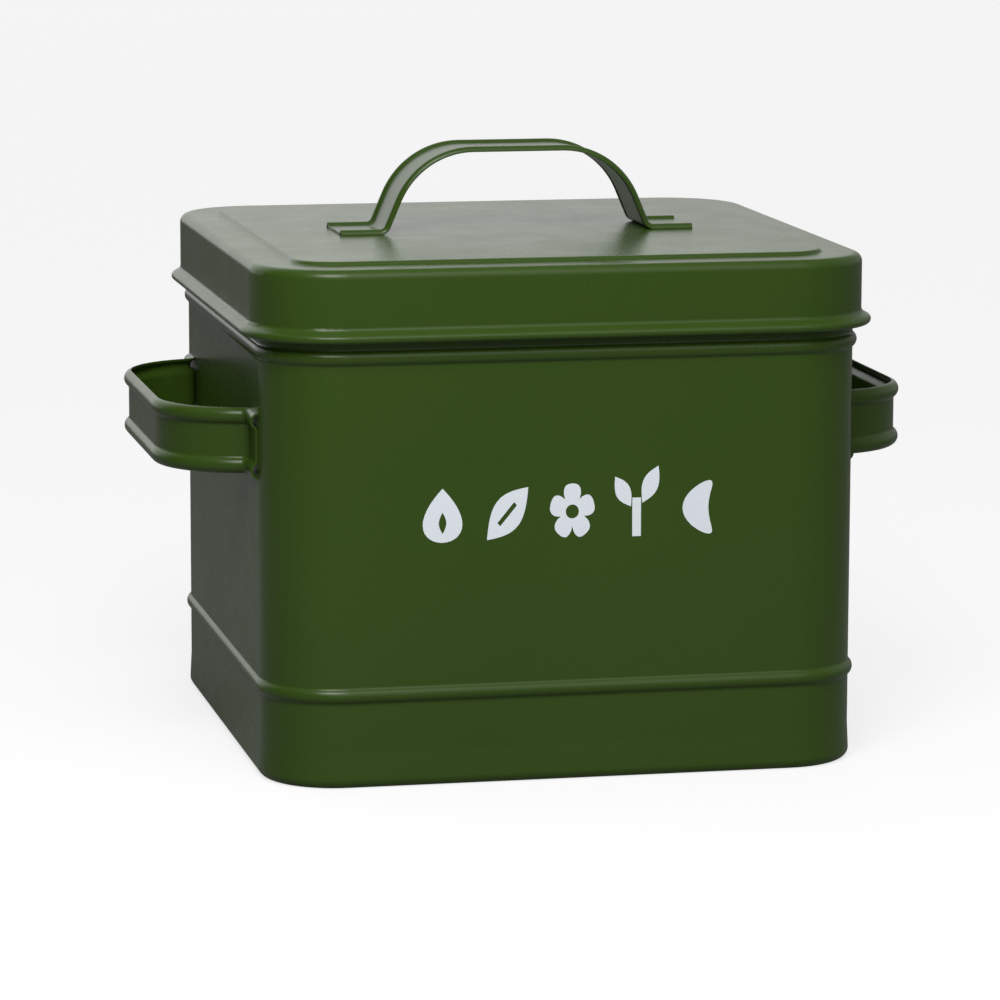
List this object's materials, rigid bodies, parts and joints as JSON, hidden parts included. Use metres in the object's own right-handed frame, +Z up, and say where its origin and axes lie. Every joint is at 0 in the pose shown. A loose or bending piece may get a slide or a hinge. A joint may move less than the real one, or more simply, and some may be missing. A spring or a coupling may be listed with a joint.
{
  "type": "seed organizer tin",
  "caption": "Square sheet-metal storage tin with rounded corners, lift-off lid with strap handle, strap handle on each side, partition and loose index cards.",
  "frame": {"origin": "centre of the footprint on the surface the tin stands on", "axes": "X to the right along the front, Y from the front to the back, Z up"},
  "size_m": [0.2584, 0.212, 0.2011],
  "materials": {
    "green_powder_coat": "satin",
    "index_card": "matte"
  },
  "bodies": {
    "tin": {"body_shell": "green_powder_coat", "base_pan": "green_powder_coat", "side_handle_left": "green_powder_coat", "side_handle_right": "green_powder_coat", "partition": "green_powder_coat"},
    "lid": {"lid_pan": "green_powder_coat", "lid_handle": "green_powder_coat"},
    "card_left_1_body": {"card_left_1": "index_card"},
    "card_left_2_body": {"card_left_2": "index_card"},
    "card_left_3_body": {"card_left_3": "index_card"},
    "card_left_4_body": {"card_left_4": "index_card"},
    "card_left_5_body": {"card_left_5": "index_card"},
    "card_left_6_body": {"card_left_6": "index_card"},
    "card_right_1_body": {"card_right_1": "index_card"},
    "card_right_2_body": {"card_right_2": "index_card"},
    "card_right_3_body": {"card_right_3": "index_card"},
    "card_right_4_body": {"card_right_4": "index_card"},
    "card_right_5_body": {"card_right_5": "index_card"},
    "card_right_6_body": {"card_right_6": "index_card"}
  },
  "joints": [
    {"name": "lid_lift", "type": "slide", "parent": "tin", "child": "lid", "axis": [0, 0, 1], "range_m": [0, 0.12]},
    {"name": "card_left_1_lift", "type": "slide", "parent": "tin", "child": "card_left_1_body", "axis": [0, 0, 1], "range_m": [0, 0.035]},
    {"name": "card_left_2_lift", "type": "slide", "parent": "tin", "child": "card_left_2_body", "axis": [0, 0, 1], "range_m": [0, 0.035]},
    {"name": "card_left_3_lift", "type": "slide", "parent": "tin", "child": "card_left_3_body", "axis": [0, 0, 1], "range_m": [0, 0.035]},
    {"name": "card_left_4_lift", "type": "slide", "parent": "tin", "child": "card_left_4_body", "axis": [0, 0, 1], "range_m": [0, 0.035]},
    {"name": "card_left_5_lift", "type": "slide", "parent": "tin", "child": "card_left_5_body", "axis": [0, 0, 1], "range_m": [0, 0.035]},
    {"name": "card_left_6_lift", "type": "slide", "parent": "tin", "child": "card_left_6_body", "axis": [0, 0, 1], "range_m": [0, 0.035]},
    {"name": "card_right_1_lift", "type": "slide", "parent": "tin", "child": "card_right_1_body", "axis": [0, 0, 1], "range_m": [0, 0.035]},
    {"name": "card_right_2_lift", "type": "slide", "parent": "tin", "child": "card_right_2_body", "axis": [0, 0, 1], "range_m": [0, 0.035]},
    {"name": "card_right_3_lift", "type": "slide", "parent": "tin", "child": "card_right_3_body", "axis": [0, 0, 1], "range_m": [0, 0.035]},
    {"name": "card_right_4_lift", "type": "slide", "parent": "tin", "child": "card_right_4_body", "axis": [0, 0, 1], "range_m": [0, 0.035]},
    {"name": "card_right_5_lift", "type": "slide", "parent": "tin", "child": "card_right_5_body", "axis": [0, 0, 1], "range_m": [0, 0.035]},
    {"name": "card_right_6_lift", "type": "slide", "parent": "tin", "child": "card_right_6_body", "axis": [0, 0, 1], "range_m": [0, 0.035]}
  ]
}
